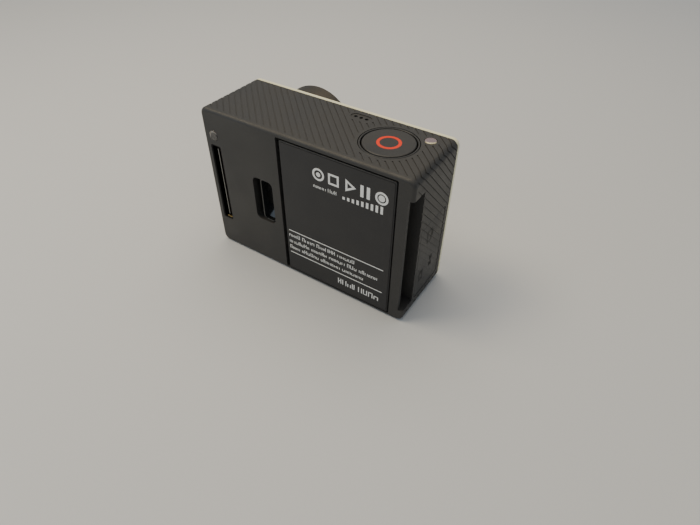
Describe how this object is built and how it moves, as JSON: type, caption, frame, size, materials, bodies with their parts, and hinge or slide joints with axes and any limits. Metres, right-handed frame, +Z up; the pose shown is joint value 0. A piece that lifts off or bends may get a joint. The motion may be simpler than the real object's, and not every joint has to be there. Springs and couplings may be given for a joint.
{
  "type": "action camera",
  "caption": "Small box action camera standing on its base, round wide-angle lens at the front, big shutter key on top, battery door at the rear.",
  "frame": {"origin": "middle of the flat base, under the middle of the case's depth (lens barrel not counted)", "axes": "+X along the width, towards the accessory port side; -Y out of the lens, so +Y is the rear with the battery door; +Z up"},
  "size_m": [0.059, 0.0302, 0.0411],
  "materials": {
    "case_plastic": "fine matte, warm dark grey",
    "front_silver": "satin silver",
    "door_plastic": "fine matte",
    "label_print": "semi-gloss printed film",
    "lens_black": "satin black",
    "trim_ring": "gloss dark",
    "optics": "coated",
    "filter_glass": "coated",
    "button_plastic": "fine matte",
    "bezel_dark": "gloss",
    "record_red": "satin red",
    "steel": "plated",
    "screw_steel": "black zinc",
    "board_green": "solder mask",
    "chip_black": "moulded epoxy",
    "sensor_ceramic": "package",
    "flex_amber": "polyimide",
    "plate_aluminium": "stamped",
    "pad_grey": "soft gap filler",
    "window_clear": "smoked clear",
    "lcd_glass": "reflective display",
    "light_milky": "milky clear",
    "foam_black": "sounder body",
    "battery_wrap": "wrapped cell",
    "contact_gold": "gold plated",
    "contact_block": "moulded",
    "card_black": "moulded",
    "print_white": "screen-printed ink",
    "pull_tab": "thin film",
    "latch_gloss": "high gloss"
  },
  "bodies": {
    "camera_body": {"rear_case": "case_plastic", "front_cover": "front_silver", "lens_housing": "lens_black", "lens_trim_ring": "trim_ring", "lens_baffle": "lens_black", "lens_front_element": "optics", "lens_cell": "lens_black", "lens_inner_elements": "optics", "aperture_stop": "lens_black", "lens_holder": "lens_black", "lens_holder_screws": "screw_steel", "ir_filter": "filter_glass", "image_sensor": "sensor_ceramic", "sensor_board": "board_green", "sensor_flex": "flex_amber", "chassis_plate": "plate_aluminium", "chassis_screws": "screw_steel", "main_board": "board_green", "processor": "chip_black", "shield_can": "steel", "thermal_pad": "pad_grey", "lcd_window": "window_clear", "lcd_module": "lcd_glass", "lcd_flex": "flex_amber", "power_switch": "steel", "shutter_bezel": "bezel_dark", "shutter_switch": "steel", "button_board": "board_green", "top_light_guide": "light_milky", "rear_light_guide": "light_milky", "front_light_guides": "light_milky", "front_light_board": "board_green", "light_chips": "light_milky", "wifi_switch": "steel", "buzzer": "foam_black", "microphone": "steel", "battery_spring_contacts": "contact_block", "hdmi_socket": "steel", "usb_socket": "steel", "memory_card_slot": "steel", "expansion_connector": "steel", "expansion_contacts": "contact_gold", "latch_cup": "latch_gloss"},
    "shutter_key": {"shutter_button": "button_plastic", "shutter_ring": "record_red", "shutter_plunger": "chip_black"},
    "power_key": {"power_button": "button_plastic", "power_button_ring": "record_red", "power_plunger": "chip_black"},
    "wireless_key": {"wifi_button": "button_plastic", "wifi_plunger": "chip_black"},
    "rear_door": {"battery_door": "door_plastic", "battery_door_label": "label_print", "battery_door_hooks": "door_plastic"},
    "battery_pack": {"battery": "battery_wrap", "battery_contact_pads": "contact_gold", "battery_pull_tab": "pull_tab"},
    "port_door": {"side_door": "door_plastic"},
    "card": {"memory_card": "card_black"}
  },
  "joints": [
    {"name": "shutter_press", "type": "slide", "parent": "camera_body", "child": "shutter_key", "axis": [0, 0, -1], "range_m": [0, 0.00035], "stiffness_N_per_m": 500, "springref_m": -0.002},
    {"name": "power_press", "type": "slide", "parent": "camera_body", "child": "power_key", "axis": [0, 1, 0], "range_m": [0, 0.0003], "stiffness_N_per_m": 500, "springref_m": -0.002},
    {"name": "wireless_press", "type": "slide", "parent": "camera_body", "child": "wireless_key", "axis": [-1, 0, 0], "range_m": [0, 0.0003], "stiffness_N_per_m": 500, "springref_m": -0.002},
    {"name": "battery_pull", "type": "slide", "parent": "camera_body", "child": "battery_pack", "axis": [0, 1, 0], "range_m": [0, 0.016]},
    {"name": "rear_door_lift", "type": "slide", "parent": "camera_body", "child": "rear_door", "axis": [0, 1, 0], "range_m": [0, 0.032], "deforming": ["battery_door_hooks"]},
    {"name": "side_door_pull", "type": "slide", "parent": "camera_body", "child": "port_door", "axis": [-1, 0, 0], "range_m": [0, 0.024]},
    {"name": "card_eject", "type": "slide", "parent": "camera_body", "child": "card", "axis": [-1, 0, 0], "range_m": [0, 0.006]}
  ],
  "couplings": [
    {"joint": "rear_door_lift", "follows": "battery_pull", "ratio": 2},
    {"joint": "card_eject", "follows": "side_door_pull", "ratio": 0.25}
  ]
}
